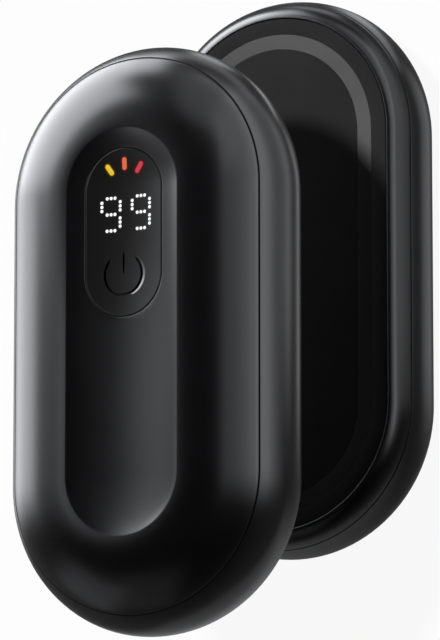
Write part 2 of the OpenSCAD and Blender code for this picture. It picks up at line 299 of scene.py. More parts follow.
# ---------------------------------------------------------------- rings and forms
def stadium(w, straight=SPINE, centre=0.0, sides=SIDE_STEPS, ends=END_STEPS):
    """A ring in the plan. It always begins and turns alike, so that two rings can be joined."""
    turns = [math.pi * i / ends for i in range(ends)]
    points = []
    for side in (1, -1):
        near, far = centre - side * straight, centre + side * straight
        points += [(side * w, near + side * 2 * straight * i / sides) for i in range(sides)]
        points += [(side * w * math.cos(a), far + side * w * math.sin(a)) for a in turns]
    return points


def circle(radius, count, x, y):
    turns = [2 * math.pi * i / count for i in range(count)]
    return [(x + radius * math.cos(a), y + radius * math.sin(a)) for a in turns]


def lifted(plan, z):
    """A ring of the plan at a height, which may follow a surface."""
    return [(x, y, z(x, y) if callable(z) else z) for x, y in plan]


def spun(points):
    """The rings that carry a section round the unit's spine."""
    return [lifted(stadium(w), z) for w, z in points]


def blended(plan_a, plan_b, t):
    return [(xa + (xb - xa) * t, ya + (yb - ya) * t) for (xa, ya), (xb, yb) in zip(plan_a, plan_b)]


def loft(bm, rings, closed=False, material=0):
    """Skins rings of as many points each. Rings that have shrunk to a line close the form."""
    made = [[bm.verts.new(p) for p in ring] for ring in rings]
    pairs = list(zip(made, made[1:])) + ([(made[-1], made[0])] if closed else [])
    for low, high in pairs:
        for i in range(len(low)):
            k = (i + 1) % len(low)
            face = bm.faces.new((low[i], low[k], high[k], high[i]))
            face.material_index = material


def weld(bm):
    bmesh.ops.remove_doubles(bm, verts=bm.verts[:], dist=WELD)


def capped(bm, rings):
    """Skins rings and closes both ends with a fan to their middle."""
    loft(bm, rings)
    for ring in (rings[0], rings[-1]):
        hub = bm.verts.new([sum(p[k] for p in ring) / len(ring) for k in range(3)])
        rim = [bm.verts.new(p) for p in ring]
        for i in range(len(rim)):
            bm.faces.new((rim[i], rim[(i + 1) % len(rim)], hub))
    weld(bm)


def rod(bm, x, y, steps, count=ROUND_STEPS):
    """A turned form about a vertical line. Steps are (radius, z), and z may follow a surface."""
    capped(bm, [lifted(circle(r, count, x, y), z) for r, z in steps])


def pipe(bm, x, y, outer, inner, low, high):
    """An upright tube with a bevelled foot, whose top may follow a surface."""
    steps = ((inner, low + PIPE_EDGE), (inner + PIPE_EDGE, low), (outer - PIPE_EDGE, low),
             (outer, low + PIPE_EDGE), (outer, high), (inner, high))
    loft(bm, [lifted(circle(r, ROUND_STEPS, x, y), z) for r, z in steps], closed=True)


def block(bm, low, high):
    """A box with rounded edges between two corners."""
    made = bmesh.ops.create_cube(bm, size=1)["verts"]
    for v in made:
        v.co = Vector([(v.co[k] + 0.5) * (high[k] - low[k]) + low[k] for k in range(3)])
    edges = list({e for v in made for e in v.link_edges})
    bmesh.ops.bevel(bm, geom=edges, offset=BLOCK_EDGE, segments=BEVEL_SEGMENTS, affect="EDGES",
                    profile=0.5)


def lip(bm, outer, low, high):
    """A thin upright wall round the spine that seats inside the band."""
    inner = outer - LIP_THICKNESS
    loft(bm, spun(profile((inner, low, LIP_EDGE), (outer, low, LIP_EDGE), (outer, high, LIP_EDGE),
                          (inner, high, LIP_EDGE))), closed=True)


# ---------------------------------------------------------------- meshes
def stored(bm, name):
    mesh = bpy.data.meshes.new(name)
    bm.to_mesh(mesh)
    bm.free()
    return mesh


def mesh_of(bm, name):
    """Stores a form with its joins welded, no empty faces and its outside outwards."""
    weld(bm)
    thin = [f for f in bm.faces if f.calc_area() < NO_AREA]
    bmesh.ops.delete(bm, geom=thin, context="FACES")
    bmesh.ops.recalc_face_normals(bm, faces=bm.faces[:])
    return stored(bm, name)


def opened(mesh):
    bm = bmesh.new()
    bm.from_mesh(mesh)
    return bm


def into_scene(thing):
    bpy.context.scene.collection.objects.link(thing)


def cut(mesh, cutter):
    """The mesh with the cutter taken away."""
    objects = [bpy.data.objects.new("work", m) for m in (mesh, cutter)]
    for o in objects:
        into_scene(o)
    tool = objects[0].modifiers.new("cut", "BOOLEAN")
    tool.operation, tool.solver, tool.object = "DIFFERENCE", "EXACT", objects[1]
    evaluated = objects[0].evaluated_get(bpy.context.evaluated_depsgraph_get())
    result = bpy.data.meshes.new_from_object(evaluated)
    for o in objects:
        bpy.data.objects.remove(o)
    return result


PLACES = {
    "upper": Matrix.Translation((0, -PAIR_SHIFT / 2, DEPTH + PAIR_GAP)),
    "lower": Matrix.Translation((0, PAIR_SHIFT / 2, DEPTH)) @ Matrix.Rotation(math.pi, 4, "Y"),
}


def part_finishes(mesh):
    """Makes the edges between two materials sharp."""
    seen = {}
    for face in mesh.polygons:
        for loop in face.loop_indices:
            edge = mesh.loops[loop].edge_index
            if seen.setdefault(edge, face.material_index) != face.material_index:
                mesh.edges[edge].use_edge_sharp = True


def place(mesh, name, body, node, materials):
    """Puts a copy of the mesh into both units, as the piece that stands for a CAD node, if any."""
    for unit in UNITS:
        copy = mesh.copy()
        copy.transform(Matrix.Scale(MM, 4) @ PLACES[unit])
        for m in materials:
            copy.materials.append(m)
        copy.shade_smooth()
        copy.set_sharp_from_angle(angle=SMOOTH_ANGLE)
        part_finishes(copy)
        piece = bpy.data.objects.new(f"{unit}_{name}", copy)
        into_scene(piece)
        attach(piece, f"{unit}_{body}")
        if node:
            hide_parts(f"{unit}_{node}")


# ---------------------------------------------------------------- materials
# Scales are features per metre, and heights of bumps are in metres
CLOUD_SCALE = 90
GLOSS_SCALE = 260
GRAIN_HEIGHT = 2e-5
METAL_SCALE = 700
BRUSH_STRENGTH = 0.15
FINE_HEIGHT = 1e-5
GLOW_ROUGHNESS = 0.35
GLOW_SPECULAR = 0.05
GLOW_SCALE = 2600
GLOW_STRENGTH = 1.0
GLOW_BUMP = 0.1
GLOW_SHARES = (("Emission Color", 0.92, 1.0), ("Base Color", 0.06, 0.1))
TINT_SPAN = (0.3, 0.7)


def add(tree, kind, **inputs):
    """A shader node with its inputs set by name."""
    made = tree.nodes.new(kind)
    for name, value in inputs.items():
        made.inputs[name].default_value = value
    return made


def shader(name, colour, roughness, metallic=0.0, specular=0.5):
    m = bpy.data.materials.new(name)
    m.use_nodes = True
    bsdf = m.node_tree.nodes["Principled BSDF"]
    bsdf.inputs["Base Color"].default_value = (*colour, 1)
    bsdf.inputs["Roughness"].default_value = roughness
    bsdf.inputs["Metallic"].default_value = metallic
    bsdf.inputs["Specular IOR Level"].default_value = specular
    return m, bsdf


def texture(m, kind, scale, **settings):
    """A procedural texture in object space."""
    tree = m.node_tree
    where = add(tree, "ShaderNodeTexCoord")
    made = add(tree, kind, Scale=scale, **settings)
    tree.links.new(where.outputs["Object"], made.inputs["Vector"])
    return made.outputs["Fac"]


def spread(m, source, low, high, target):
    """Links a 0 to 1 source to a socket between two values."""
    made = add(m.node_tree, "ShaderNodeMapRange", **{"To Min": low, "To Max": high})
    m.node_tree.links.new(source, made.inputs["Value"])
    m.node_tree.links.new(made.outputs["Result"], target)


def tint(m, source, low, high, target):
    """Links a 0 to 1 source to a colour socket between two colours."""
    made = add(m.node_tree, "ShaderNodeValToRGB")
    for stop, position, colour in zip(made.color_ramp.elements, TINT_SPAN, (low, high)):
        stop.position, stop.color = position, (*colour, 1)
    m.node_tree.links.new(source, made.inputs["Fac"])
    m.node_tree.links.new(made.outputs["Color"], target)


def bump(m, bsdf, source, strength, distance):
    made = add(m.node_tree, "ShaderNodeBump", Strength=strength, Distance=distance)
    m.node_tree.links.new(source, made.inputs["Height"])
    m.node_tree.links.new(made.outputs["Normal"], bsdf.inputs["Normal"])


def plastic(name, dark, light, roughness, grain, grain_strength, specular=0.5):
    """Moulded plastic: cloudy tone, uneven gloss and a fine spark-eroded grain."""
    m, bsdf = shader(name, dark, roughness[0], specular=specular)
    cloud = texture(m, "ShaderNodeTexNoise", CLOUD_SCALE, Detail=3, Roughness=0.6)
    tint(m, cloud, dark, light, bsdf.inputs["Base Color"])
    gloss = texture(m, "ShaderNodeTexNoise", GLOSS_SCALE, Detail=4, Roughness=0.6)
    spread(m, gloss, *roughness, bsdf.inputs["Roughness"])
    grains = texture(m, "ShaderNodeTexNoise", grain, Detail=2, Roughness=0.5)
    bump(m, bsdf, grains, grain_strength, GRAIN_HEIGHT)
    return m


def metal(name, dark, light, roughness, brush):
    """Bare metal with fine brushed lines, at so many a metre."""
    m, bsdf = shader(name, light, roughness[0], metallic=1.0)
    cloud = texture(m, "ShaderNodeTexNoise", METAL_SCALE, Detail=4)
    tint(m, cloud, dark, light, bsdf.inputs["Base Color"])
    lines = texture(m, "ShaderNodeTexWave", brush, Distortion=6.0, Detail=3.0)
    spread(m, lines, *roughness, bsdf.inputs["Roughness"])
    bump(m, bsdf, lines, BRUSH_STRENGTH, FINE_HEIGHT)
    return m


def glow(name, colour):
    """A lit surface, nearly black by itself, whose light is a little uneven."""
    m, bsdf = shader(name, colour, GLOW_ROUGHNESS, specular=GLOW_SPECULAR)
    bsdf.inputs["Emission Color"].default_value = (*colour, 1)
    bsdf.inputs["Emission Strength"].default_value = GLOW_STRENGTH
    core = texture(m, "ShaderNodeTexNoise", GLOW_SCALE, Detail=2)
    for socket, low, high in GLOW_SHARES:
        tint(m, core, [c * low for c in colour], [c * high for c in colour], bsdf.inputs[socket])
    bump(m, bsdf, core, GLOW_BUMP, FINE_HEIGHT)
    return m


# Name, dark and light tone, least and greatest roughness, grains per metre and their strength
CASE = plastic("case_satin_black", (0.0018, 0.0018, 0.0021), (0.0028, 0.0028, 0.0032),
               (0.24, 0.28), 5200, 0.05)
SHELL = plastic("shell_satin_black", (0.002, 0.002, 0.0023), (0.003, 0.003, 0.0034),
                (0.24, 0.28), 5200, 0.05)
PANEL = plastic("panel_matte_charcoal", (0.020, 0.020, 0.020), (0.026, 0.026, 0.026),
                (0.62, 0.74), 7200, 0.5, specular=0.02)
RING = plastic("ring_satin_grey", (0.102, 0.102, 0.102), (0.12, 0.12, 0.12),
               (0.5, 0.6), 6400, 0.25, specular=0.005)
LENS = plastic("key_smoked_gloss", (0.006, 0.006, 0.0062), (0.0075, 0.0075, 0.0078),
               (0.2, 0.23), 3000, 0.03)
# The power mark's faces are near black: painted shade that darkens its trench and slope
MARK_PAINTED_SHADE = plastic("power_mark_painted_shade", (0.0004, 0.0004, 0.0004), (0.0008, 0.0008, 0.0008),
               (0.18, 0.22), 3000, 0.03, specular=0.65)
FOIL = plastic("cell_foil", (0.30, 0.33, 0.37), (0.36, 0.39, 0.43), (0.32, 0.42), 900, 0.4)
BOARD = plastic("board_green", (0.008, 0.055, 0.026), (0.012, 0.085, 0.04),
                (0.34, 0.46), 1500, 0.4)
FOAM = plastic("pad_foam", (0.028, 0.028, 0.03), (0.05, 0.05, 0.053), (0.88, 0.96), 2200, 1.0)
WHITE = plastic("module_white", (0.68, 0.68, 0.65), (0.78, 0.78, 0.75), (0.45, 0.55), 2600, 0.2)
LEAD = plastic("lead_red", (0.36, 0.015, 0.012), (0.46, 0.022, 0.018), (0.38, 0.46), 3000, 0.2)
BEAD = plastic("sensor_glass", (0.42, 0.33, 0.10), (0.52, 0.42, 0.14), (0.3, 0.4), 2400, 0.2)

# Name, dark and light tone, least and greatest roughness, brushed lines per metre
STEEL = metal("steel_plated", (0.42, 0.42, 0.43), (0.62, 0.62, 0.63), (0.22, 0.38), 900)
ALUMINIUM = metal("aluminium_rolled", (0.62, 0.62, 0.64), (0.78, 0.78, 0.8), (0.3, 0.45), 420)
COPPER = metal("film_copper", (0.52, 0.25, 0.12), (0.78, 0.42, 0.24), (0.3, 0.42), 300)

# The lights from left to right, and their halos
LIGHTS = [glow("light_yellow", (0.82, 0.53, 0.028)), glow("light_orange", (0.70, 0.145, 0.066)),
          glow("light_red", (0.62, 0.047, 0.064))]
HALOS = [glow("halo_yellow", (0.034, 0.02, 0.001)), glow("halo_orange", (0.056, 0.005, 0.001)),
         glow("halo_red", (0.06, 0.006, 0.005))]
DIGIT = glow("digit_white", (1.0, 1.0, 1.0))

# ---------------------------------------------------------------- places inside the case
BOSS_RADIUS = 2.2
BORE_RADIUS = 1.0
BOSS_CLEARANCE = 0.4
POST_RADIUS = 1.3
POST_BORE = 0.6
SCREW_REACH = cavity_w(CROWN_SEAM) - 2 * SEAT_GAP - BOSS_RADIUS
SHOULDER = math.radians(50)
SHOULDER_X = SCREW_REACH * math.sin(SHOULDER)
SHOULDER_Y = SPINE + SCREW_REACH * math.cos(SHOULDER)
SCREWS = [(s * SCREW_REACH, 0.0) for s in (-1, 1)] + [
    (s * SHOULDER_X, e * SHOULDER_Y) for s in (-1, 1) for e in (-1, 1)]
BAY_HALF = SCREW_REACH - BOSS_RADIUS - BOSS_CLEARANCE
BAY_END = SHOULDER_Y - BOSS_RADIUS - BOSS_CLEARANCE
BOARD_THICKNESS = 1.2
BOARD_TOP = COVER_Z - LIP_HEIGHT - SEAT_GAP
BOARD_Z = BOARD_TOP - BOARD_THICKNESS
POST_X = SHOULDER_X - BOSS_RADIUS - BOSS_CLEARANCE - POST_RADIUS
RIB_Y = 16
RIB_HALF = 0.6
RIB_SINK = 0.1

# Port, and its cutter as (place along the unit, growth of the opening)
SOCKET_HALF = 4.45
SOCKET_RISE = 1.6
SOCKET_GAP = 0.2
SOCKET_DROP = 3.5
SOCKET_Z = BOARD_Z - SOCKET_DROP - SOCKET_RISE
MOUTH_DEPTH = 0.2
MOUTH_Y = SPINE + math.sqrt(case_w(SOCKET_Z - SOCKET_RISE) ** 2 - SOCKET_HALF ** 2) - MOUTH_DEPTH
CUT_OVERRUN = 1
PORT_CUTS = ((UNIT_LENGTH / 2 + CUT_OVERRUN, 0.5), (MOUTH_Y + 0.1, 0.22), (MOUTH_Y - 0.3, 0.0),
             (MOUTH_Y - 6, 0.0))

# Pockets of the deck, and their cutters as (radius, height)
MAGNET_X = 6.4
MAGNET_RADIUS = 4
MAGNET_MARGIN = 1.2
MAGNET_Y = BAY_END + MAGNET_RADIUS + MAGNET_MARGIN
MAGNET_CUTS = ((4.1, DECK_Z - 0.6), (4.1, DECK_Z + CUT_OVERRUN))
SCREW_CUTS = ((2.03, PANEL_THICKNESS - 0.2), (2.02, PANEL_THICKNESS), (1.12, PANEL_THICKNESS + 1.1),
              (1.12, DECK_Z + CUT_OVERRUN))


# ---------------------------------------------------------------- case shells
def mid_wall(x, y):
    """A height inside the wall of the crown, where bosses and posts end."""
    w = spine_distance(x, y)
    if w < TROUGH_HALF:
        return TROUGH_ROOF + WALL / 4
    return (crown_z(w) + crown_z(w, WALL)) / 2


def rounded_edge(half, outwards, sides):
    """Rings that round the channel's floor into an upright wall, outwards 1 or -1 from it."""
    rings = []
    for k in range(1, FILLET_STEPS + 1):
        a = math.pi / 2 * k / FILLET_STEPS
        w = half + outwards * KEY_EDGE * (1 - math.sin(a))
        rings.append(lifted(stadium(w, KEY_SPINE, KEY_Y, sides),
                            under_channel(KEY_EDGE * (1 - math.cos(a)))))
    return rings


def display_cover():
    """The cover with its channel and the key's hole, its lip, the screw bosses and board posts."""
    bm = bmesh.new()
    section = profile((cavity_w(COVER_Z), COVER_Z - SEAM_TRIM),
                      (case_w(COVER_Z), COVER_Z - SEAM_TRIM, SEAM_EDGE),
                      crown(COVER_Z + COVER_START, DEPTH, 0, CROWN_STEPS),
                      (CREST_HALF - CREST_TRIM, DEPTH), (CHANNEL_HALF, DEPTH, RIM_RADIUS),
                      (RIM_FOOT, channel_z(RIM_FOOT, 0)))
    rings = spun(section)
    hole = KEY_HALF + KEY_GAP
    wide, narrow = stadium(section[-1][0]), stadium(hole + KEY_EDGE, KEY_SPINE, KEY_Y)
    rings += [lifted(blended(wide, narrow, k / FLOOR_STEPS), channel_z)
              for k in range(1, FLOOR_STEPS + 1)]
    rings += rounded_edge(hole, 1, SIDE_STEPS)
    wall, under = stadium(hole, KEY_SPINE, KEY_Y), stadium(TROUGH_HALF)
    rings.append(lifted(wall, TROUGH_ROOF))
    rings += [lifted(blended(wall, under, t), TROUGH_ROOF) for t in ROOF_SHARES]
    inner = [(w, z) for w, z in crown(COVER_Z, DEPTH - WALL, WALL, HALF_STEPS)
             if w > TROUGH_HALF + ROOF_MARGIN]
    rings += spun([(TROUGH_HALF, crown_z(TROUGH_HALF, WALL))] + inner[:0:-1])
    loft(bm, rings, closed=True)
    lip(bm, cavity_w(CROWN_SEAM) - SEAT_GAP, COVER_Z - LIP_HEIGHT, COVER_Z + LIP_HEIGHT)
    for x, y in SCREWS:
        pipe(bm, x, y, BOSS_RADIUS, BORE_RADIUS, DECK_Z, mid_wall)
    for x in (-POST_X, POST_X):
        pipe(bm, x, SHOULDER_Y, POST_RADIUS, POST_BORE, BOARD_TOP, mid_wall)
        rod(bm, x, POST_RADIUS, [(POST_RADIUS, BOARD_TOP), (POST_RADIUS, mid_wall)])
    return mesh_of(bm, "display_cover")


def mid_frame():
    """The band between the case joints, with the port's opening and two ribs on each side."""
    bm = bmesh.new()
    low, high = BAND_Z - SEAM_TRIM, BAND_TOP + SEAM_TRIM
    outer = foot(BAND_Z + BAND_START, WAIST, 0, HALF_STEPS)
    outer += crown(WAIST, BAND_TOP - BAND_START, 0, HALF_STEPS)[1:]
    inner = crown(WAIST, BAND_TOP, WALL, INNER_STEPS)[::-1]
    inner += foot(BAND_Z, WAIST, WALL, INNER_STEPS)[::-1][1:]
    loft(bm, spun(profile((case_w(low), low, SEAM_EDGE), outer,
                          (case_w(high), high, SEAM_EDGE), inner)), closed=True)
    port = bmesh.new()
    rings = []
    for y, grow in PORT_CUTS:
        plan = stadium(SOCKET_RISE + SOCKET_GAP + grow, SOCKET_HALF - SOCKET_RISE, 0,
                       PORT_SIDES, PORT_ENDS)
        rings.append([(px, y, SOCKET_Z + pz) for pz, px in plan])
    capped(port, rings)
    whole = opened(cut(mesh_of(bm, "mid_frame"), mesh_of(port, "port")))
    weld(whole)
    rib_low = DECK_Z + LIP_HEIGHT + SEAT_GAP
    for side in (-1, 1):
        xs = sorted((side * (BAY_HALF + SEAT_GAP), side * (UNIT_HALF - WALL + RIB_SINK)))
        for y in (-RIB_Y, RIB_Y):
            block(whole, (xs[0], y - RIB_HALF, rib_low), (xs[1], y + RIB_HALF, BOARD_Z - SEAT_GAP))
    return stored(whole, "mid_frame_whole")


def dock_shell():
    """The rim of the docking side and its deck, with pockets for screws and magnets, and a lip."""
    bm = bmesh.new()
    loft(bm, spun(profile((0, PANEL_THICKNESS), (DOCK_HALF, PANEL_THICKNESS),
                          (DOCK_HALF, 0, DOCK_EDGE),
                          foot(DOCK_EDGE, DECK_Z - BAND_START, 0, HALF_STEPS),
                          (case_w(DECK_Z), DECK_Z + SEAM_TRIM, SEAM_EDGE),
                          (cavity_w(DOCK_SEAM), DECK_Z + SEAM_TRIM),
                          (cavity_w(DOCK_SEAM) - DECK_TRIM, DECK_Z), (0, DECK_Z))))
    pockets = bmesh.new()
    for x, y in SCREWS:
        rod(pockets, x, y, SCREW_CUTS)
    for x in (-MAGNET_X, MAGNET_X):
        for y in (-MAGNET_Y, MAGNET_Y):
            rod(pockets, x, y, MAGNET_CUTS, MAGNET_STEPS)
    whole = opened(cut(mesh_of(bm, "dock_shell"), mesh_of(pockets, "pockets")))
    weld(whole)
    lip(whole, cavity_w(DOCK_SEAM) - SEAT_GAP, DECK_Z - LIP_ROOT, DECK_Z + LIP_HEIGHT)
    return stored(whole, "dock_shell_whole")


def dock_panel():
    """The flat panel, with the groove that its ring is let into."""
    bm = bmesh.new()
    inner, outer = RING_INNER - RING_GAP, RING_OUTER + RING_GAP
    loft(bm, spun(profile((0, 0), (inner, 0, PANEL_EDGE), (inner, RING_THICKNESS),
                          (outer, RING_THICKNESS), (outer, 0, PANEL_EDGE),
                          (PANEL_HALF, 0, PANEL_EDGE), (PANEL_HALF, PANEL_THICKNESS, PANEL_EDGE),
                          (0, PANEL_THICKNESS))))
    return mesh_of(bm, "dock_panel")


def dock_ring():
    bm = bmesh.new()
    loft(bm, spun(profile((RING_INNER, 0, RING_EDGE), (RING_OUTER, 0, RING_EDGE),
                          (RING_OUTER, RING_THICKNESS, RING_BACK_EDGE),
                          (RING_INNER, RING_THICKNESS, RING_BACK_EDGE))), closed=True)
    return mesh_of(bm, "dock_ring")


# ---------------------------------------------------------------- key
def light_places():
    """Each light's step from the middle one, and the turn and place of its outline."""
    for step in (-1, 0, 1):
        turn = -step * LIGHT_ANGLE
        yield step, (turn, LIGHT_REACH * math.sin(step * LIGHT_ANGLE),
                     LIGHT_Y + LIGHT_REACH * math.cos(turn))


def light_ring(w, z, turn, x, y):
    """A light's outline, turned to its place in the fan."""
    c, s = math.cos(turn), math.sin(turn)
    plan = stadium(w, LIGHT_STRAIGHT, 0, LIGHT_SIDES, LIGHT_ENDS)
    return lifted([(x + px * c - py * s, y + px * s + py * c) for px, py in plan], z)


def dots():
    """Centres of the lit dots of two nines."""
    for cx in DIGIT_X:
        for row in (-1, 0, 1):
            for k in (-1, 0, 1):
                yield cx + k * DOT_STEP, DIGIT_MID_Y + row * DIGIT_RISE
        for side, row in ((-1, 0.5), (1, 0.5), (1, -0.5)):
            for k in (-1, 0, 1):
                yield (cx + side * DIGIT_SIDE,
                       DIGIT_MID_Y + row * DIGIT_RISE + k * DOT_STEP * DOT_SQUEEZE)


def mark_arc(span, steps):
    """A path in the plan along the power mark's ring."""
    first, last = span
    angles = [first + (last - first) * i / steps for i in range(steps + 1)]
    return [(POWER_X + MARK_RADIUS * math.cos(a), POWER_Y + MARK_RADIUS * math.sin(a))
            for a in angles]


def groove(bm, path, section, widths):
    """A cutter along a path in the plan, tapered at both ends.

    The section lies across the path, as (offset to its left, height over the channel's floor), and
    the widths scale it at each point of the path.
    """
    rings = []
    for i, (x, y) in enumerate(path):
        ax, ay = path[max(i - 1, 0)]
        bx, by = path[min(i + 1, len(path) - 1)]
        d = Vector((bx - ax, by - ay)).normalized()
        side = Vector((-d.y, d.x))
        from_end = min(i, len(path) - 1 - i) / TAPER_STEPS
        taper = widths[i] * min(1.0, TAPER_START + (1 - TAPER_START) * from_end)
        ring = []
        for off, z in section:
            px, py = x + side.x * off * taper, y + side.y * off * taper
            ring.append((px, py, channel_z(px, py) + (z * taper if z < 0 else z)))
        rings.append(ring)
    capped(bm, rings)


def key_ring(w, z):
    return lifted(stadium(w, KEY_SPINE, KEY_Y, KEY_SIDES), z)


def display_key():
    """The key, flush with the channel, with its flange, its plunger and the wells of its marks."""
    bm = bmesh.new()
    rings = [key_ring((KEY_HALF - KEY_EDGE) * k / KEY_STEPS, channel_z)
             for k in range(KEY_STEPS + 1)]
    rings += rounded_edge(KEY_HALF, -1, KEY_SIDES)
    seat_z, flange = TROUGH_ROOF - SEAT_GAP, KEY_HALF + KEY_LIP
    rings += [key_ring(w, z) for w, z in profile(
        (KEY_HALF, seat_z), (flange, seat_z, FLANGE_EDGE), (flange, FLANGE_Z, FLANGE_EDGE),
        (0, FLANGE_Z))]
    loft(bm, rings)

    marks = bmesh.new()
    arc = mark_arc(MARK_SPAN, MARK_STEPS)
    groove(marks, arc, TRENCH, [1] * len(arc))
    bar = [(POWER_X, POWER_Y + BAR_LENGTH - BAR_LENGTH * i / BAR_STEPS)
           for i in range(BAR_STEPS + 1)]
    groove(marks, bar, [(off * BAR_SHARE, z) for off, z in TRENCH], [1] * len(bar))
    for _, at in light_places():
        w = LIGHT_HALF + HALO_WIDTH + WELL_GAP
        capped(marks, [light_ring(w, z, *at) for z in (FLANGE_Z - WELL_OVERRUN, DEPTH)])
    for x, y in dots():
        w = DOT_RADIUS + DOT_GAP
        rod(marks, x, y, [(w, under_channel(DOT_WELL)), (w, DEPTH)], DOT_STEPS)
    body = cut(mesh_of(bm, "display_key"), mesh_of(marks, "marks"))

    slope = bmesh.new()
    widths = [math.sin(math.pi * (i + SLOPE_ENDS) / (SLOPE_STEPS + 2 * SLOPE_ENDS)) ** 0.5
              for i in range(SLOPE_STEPS + 1)]
    groove(slope, mark_arc(SLOPE_SPAN, SLOPE_STEPS), SLOPE, widths)
    body = cut(body, mesh_of(slope, "mark_slope"))
    # Faces in the power mark's trench and slope take the near-black painted shade
    for face in body.polygons:
        x, y, z = face.center
        near = math.hypot(x - POWER_X, y - POWER_Y) < POWER_REACH
        if near and FLANGE_Z + MARK_FLOOR < z < channel_z(x, y) - MARK_DIP:
            face.material_index = 1
    whole = opened(body)
    rod(whole, 0, POWER_Y, [(PLUNGER_TIP, FLANGE_Z - PLUNGER_DROP),
                            (PLUNGER_RADIUS, FLANGE_Z - PLUNGER_LAP),
                            (PLUNGER_RADIUS, FLANGE_Z + PLUNGER_LAP)], PLUNGER_STEPS)
    return stored(whole, "display_key_whole")


def level_lights():
    """Three lights that fill their wells in the key, each with a halo about its core."""
    bm = bmesh.new()
    outer = LIGHT_HALF + HALO_WIDTH
    for step, at in light_places():
        halo = [light_ring(w, z, *at) for w, z in (
            (0.0, FLANGE_Z), (outer, FLANGE_Z), (outer, TROUGH_FLOOR - LIGHT_FOOT),
            (outer, channel_z), (LIGHT_HALF + HALO_WIDTH / 2, channel_z), (LIGHT_HALF, channel_z))]
        core = [light_ring(LIGHT_HALF - inset, channel_z, *at) for inset in LIGHT_INSETS]
        loft(bm, halo, material=len(LIGHTS) + step + 1)
        loft(bm, core, material=step + 1)
    return mesh_of(bm, "level_lights")


def digit_dots():
    bm = bmesh.new()
    for x, y in dots():
        rod(bm, x, y, [(r, under_channel(depth)) for r, depth in DOT_OUTLINE], DOT_STEPS)
    return mesh_of(bm, "digit_dots")


# ---------------------------------------------------------------- foam pad under the cell
PAD_CORNER = 2.0


def foam_pad():
    """The die-cut foam under the cell, flat where it is pressed and rounded at its sides."""
    to_unit = (Matrix.Scale(MM, 4) @ PLACES["upper"]).inverted()
    low, high = (to_unit @ Vector(corner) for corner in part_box("upper_battery_pad"))
    middle, half = (low + high) / 2, (high - low) / 2
    rings = []
    for k in range(PAD_STEPS + 1):
        a = math.pi * (k / PAD_STEPS - 0.5)
        inset = half.z * (1 - math.cos(a))
        reach_x, reach_y = half.x - inset - PAD_CORNER, half.y - inset - PAD_CORNER
        plan = []
        for quarter, (sx, sy) in enumerate(((1, 1), (-1, 1), (-1, -1), (1, -1))):
            for i in range(PAD_STEPS + 1):
                turn = math.pi / 2 * (quarter + i / PAD_STEPS)
                plan.append((middle.x + sx * reach_x + PAD_CORNER * math.cos(turn),
                             middle.y + sy * reach_y + PAD_CORNER * math.sin(turn)))
        rings.append(lifted(plan, middle.z + half.z * math.sin(a)))
    bm = bmesh.new()
    capped(bm, rings)
    return mesh_of(bm, "foam_pad")


place(display_cover(), "case_cover", "unit", "display_cover", [CASE])
place(mid_frame(), "case_band", "unit", "mid_frame", [SHELL])
place(dock_shell(), "case_rim", "unit", "dock_shell", [SHELL])
place(dock_panel(), "dock_plate", "unit", "dock_panel", [PANEL])
place(dock_ring(), "racetrack", "unit", "dock_ring", [RING])
place(display_key(), "key_lens", "key", "display_key", [LENS, MARK_PAINTED_SHADE])
place(level_lights(), "level_bars", "key", "level_lights", LIGHTS + HALOS)
place(digit_dots(), "digits", "key", None, [DIGIT])
place(foam_pad(), "foam_pad", "unit", "battery_pad", [FOAM])

# The other solids inside keep their shapes and get their finish here
FINISHES = {
    "display_module": WHITE, "key_switch": STEEL, "main_board": BOARD, "board_screws": STEEL,
    "usb_socket": STEEL, "battery": FOIL, "protection_board": BOARD, "battery_leads": LEAD,
    "thermistor": BEAD, "palm_heater": COPPER, "dock_heater": COPPER, "heat_spreader": ALUMINIUM,
    "dock_magnets": STEEL, "case_screws": STEEL,
}
for unit in UNITS:
    for name, finish in FINISHES.items():
        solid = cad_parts[f"{unit}_{name}"]
        solid.data.materials.clear()
        solid.data.materials.append(finish)

# ---------------------------------------------------------------- camera, as the photograph's
# It stands to the right, above and back from the middle of the upper unit, along its own axes
AZIMUTH = math.radians(27.99)
ELEVATION = math.radians(-9.635)
SIN_A, COS_A = math.sin(AZIMUTH), math.cos(AZIMUTH)
SIN_E, COS_E = math.sin(ELEVATION), math.cos(ELEVATION)
RIGHT = Vector((COS_A, 0, -SIN_A))
UP = Vector((-SIN_E * SIN_A, COS_E, -SIN_E * COS_A))
BACK = Vector((SIN_A * COS_E, SIN_E, COS_A * COS_E))
STAND_RIGHT, STAND_UP, STAND_BACK = 10.95, 3.35, 858.4
UPPER_MIDDLE = Vector((0, -PAIR_SHIFT / 2, DEPTH + PAIR_GAP + WAIST))
FOCAL_PIXELS = 5112.2
IMAGE_HEIGHT = 640
SENSOR_WIDTH = 36.0
CLIP_METRES = (0.01, 10)

camera_data = bpy.data.cameras.new("photo_camera")
camera_data.sensor_width = SENSOR_WIDTH
camera_data.lens = SENSOR_WIDTH * FOCAL_PIXELS / IMAGE_HEIGHT
camera_data.clip_start, camera_data.clip_end = CLIP_METRES
camera = bpy.data.objects.new("photo_camera", camera_data)
into_scene(camera)
stand = UPPER_MIDDLE + RIGHT * STAND_RIGHT + UP * STAND_UP + BACK * STAND_BACK
turned = Matrix((RIGHT, UP, BACK)).transposed().to_4x4()
camera.matrix_world = Matrix.Translation(stand * MM) @ turned
bpy.context.scene.camera = camera

# ---------------------------------------------------------------- studio
LAMP_COLOUR = (0.965, 0.98, 1.02)
SOFT_REACH, SOFT_SHARE = 36, 0.39
LAMP_MIDDLE = 0.5
TO_RIGHT, TO_LEFT, UPWARDS = (1, 0, 0), (-1, 0, 0), (0, 0.001, 1)
KEY_AIM = (0.743, -0.669, 0)

